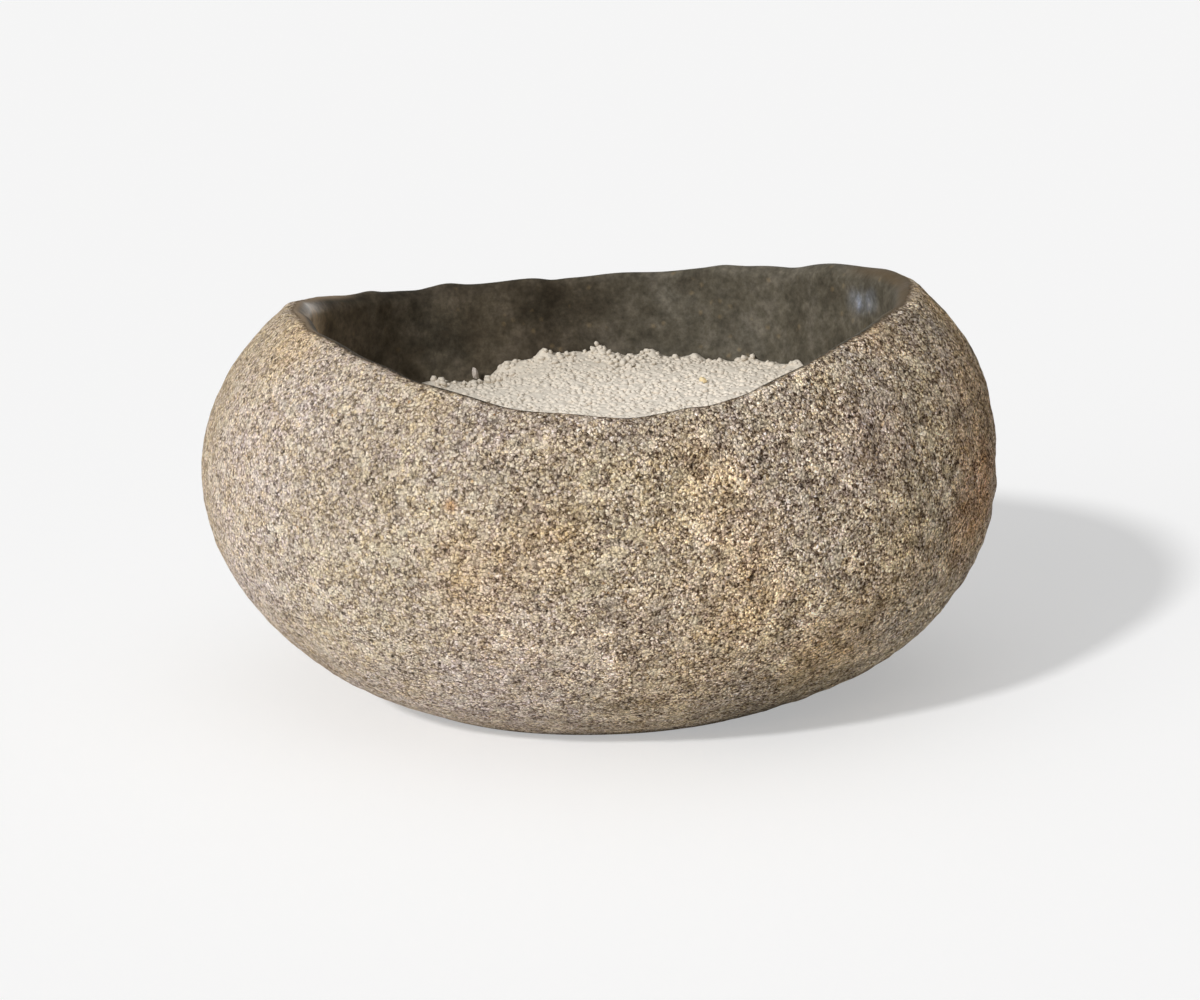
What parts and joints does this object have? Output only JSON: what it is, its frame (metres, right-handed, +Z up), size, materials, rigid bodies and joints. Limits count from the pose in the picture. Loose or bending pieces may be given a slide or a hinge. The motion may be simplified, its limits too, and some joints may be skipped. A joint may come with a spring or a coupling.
{
  "type": "river stone bowl",
  "caption": "Bowl cut from one rounded river boulder, ground flat underneath, with a wavy saddle-shaped rim, a polished lip and a dark hollow that holds coarse white grains.",
  "frame": {"origin": "middle of the flat ground base, on the surface that the bowl stands on", "axes": "+Z up, +X towards the higher right-hand end of the bowl, -Y towards its lower front"},
  "size_m": [0.2804, 0.2411, 0.1444],
  "materials": {
    "river_stone": "matte",
    "white_grain": "satin",
    "amber_grain": "satin"
  },
  "bodies": {
    "root": {"stone_bowl": "river_stone", "grain_bed": "white_grain", "top_grains": "white_grain", "amber_grain": "amber_grain", "wall_grain": "white_grain"}
  },
  "joints": []
}
